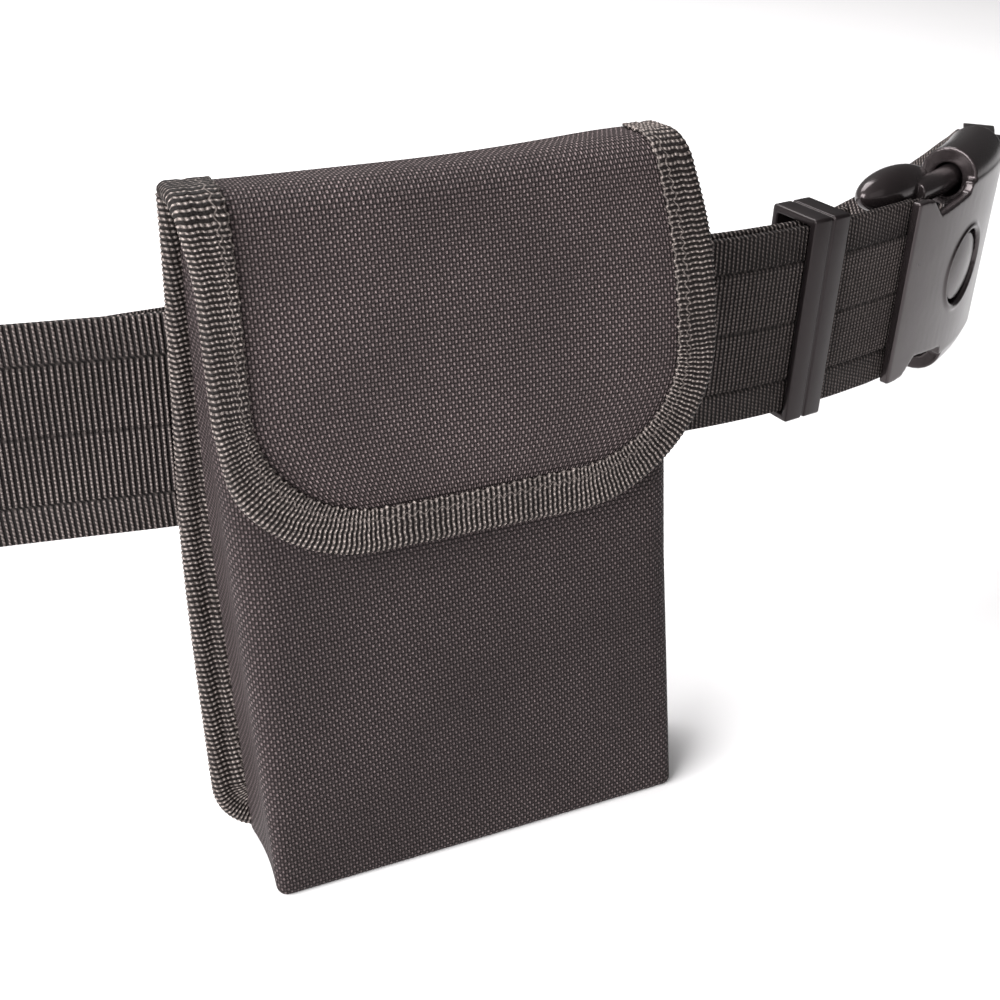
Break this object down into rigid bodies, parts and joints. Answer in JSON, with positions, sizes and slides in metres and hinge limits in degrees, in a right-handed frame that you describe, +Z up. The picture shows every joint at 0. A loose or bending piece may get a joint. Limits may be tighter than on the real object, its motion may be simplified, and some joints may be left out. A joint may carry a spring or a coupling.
{
  "type": "duty belt with pouch",
  "caption": "Black nylon duty belt closed in a loop, with a three-point release buckle, a belt keeper and a flap pouch with bound edges.",
  "frame": {"origin": "middle of the pouch's flat base, which stands on the table", "axes": "+X along the belt behind the pouch, towards the buckle; +Y from the pouch across the waist opening; +Z up"},
  "size_m": [0.4074, 0.2238, 0.1557],
  "materials": {
    "webbing": "matte",
    "pouch_fabric": "matte",
    "binding_tape": "matte",
    "hook_loop": "matte",
    "buckle_plastic": "gloss",
    "keeper_plastic": "satin",
    "stiffener": "matte"
  },
  "bodies": {
    "belt": {"belt_outer_webbing": "webbing", "belt_stiffener": "stiffener", "belt_inner_webbing": "webbing", "male_end_return": "webbing", "male_end_fold": "webbing", "belt_tail": "webbing", "belt_bar_fold": "webbing", "belt_loop_strip": "hook_loop", "tail_hook_strip": "hook_loop", "female_buckle_half": "buckle_plastic", "male_buckle_half": "buckle_plastic"},
    "pouch": {"pouch_back_panel": "pouch_fabric", "flange_binding_left": "binding_tape", "flange_binding_right": "binding_tape", "pouch_front_panel": "pouch_fabric", "pouch_base_panel": "pouch_fabric", "front_loop_patch": "hook_loop", "mouth_binding": "binding_tape", "belt_loop_left": "webbing", "belt_loop_right": "webbing"},
    "flap": {"flap_panel": "pouch_fabric", "flap_binding": "binding_tape", "flap_hook_patch": "hook_loop"},
    "keeper": {"keeper": "keeper_plastic"},
    "arm_upper": {"release_arm_upper": "buckle_plastic"},
    "arm_lower": {"release_arm_lower": "buckle_plastic"},
    "tongue": {"centre_tongue": "buckle_plastic", "release_button": "buckle_plastic"}
  },
  "joints": [
    {"name": "pouch_slide", "type": "slide", "parent": "belt", "child": "pouch", "axis": [1, 0, 0], "range_m": [-0.008, 0.008]},
    {"name": "flap_hinge", "type": "hinge", "parent": "pouch", "child": "flap", "pos_m": [0.0015, 0.0287, 0.1521], "axis": [-1, 0, 0], "range_deg": [0, 170]},
    {"name": "keeper_slide", "type": "slide", "parent": "belt", "child": "keeper", "axis": [0.9903, 0.1392, 0], "range_m": [-0.008, 0.004]},
    {"name": "arm_upper_flex", "type": "hinge", "parent": "belt", "child": "arm_upper", "pos_m": [0.19229, 0.07725, 0.1233], "axis": [0.713, -0.7012, 0], "range_deg": [0, 1], "stiffness_Nm_per_rad": 1},
    {"name": "arm_lower_flex", "type": "hinge", "parent": "belt", "child": "arm_lower", "pos_m": [0.19229, 0.07725, 0.0747], "axis": [-0.713, 0.7012, 0], "range_deg": [0, 1], "stiffness_Nm_per_rad": 1},
    {"name": "tongue_flex", "type": "hinge", "parent": "belt", "child": "tongue", "pos_m": [0.18758, 0.07405, 0.099], "axis": [0, 0, -1], "range_deg": [0, 3], "stiffness_Nm_per_rad": 1}
  ]
}
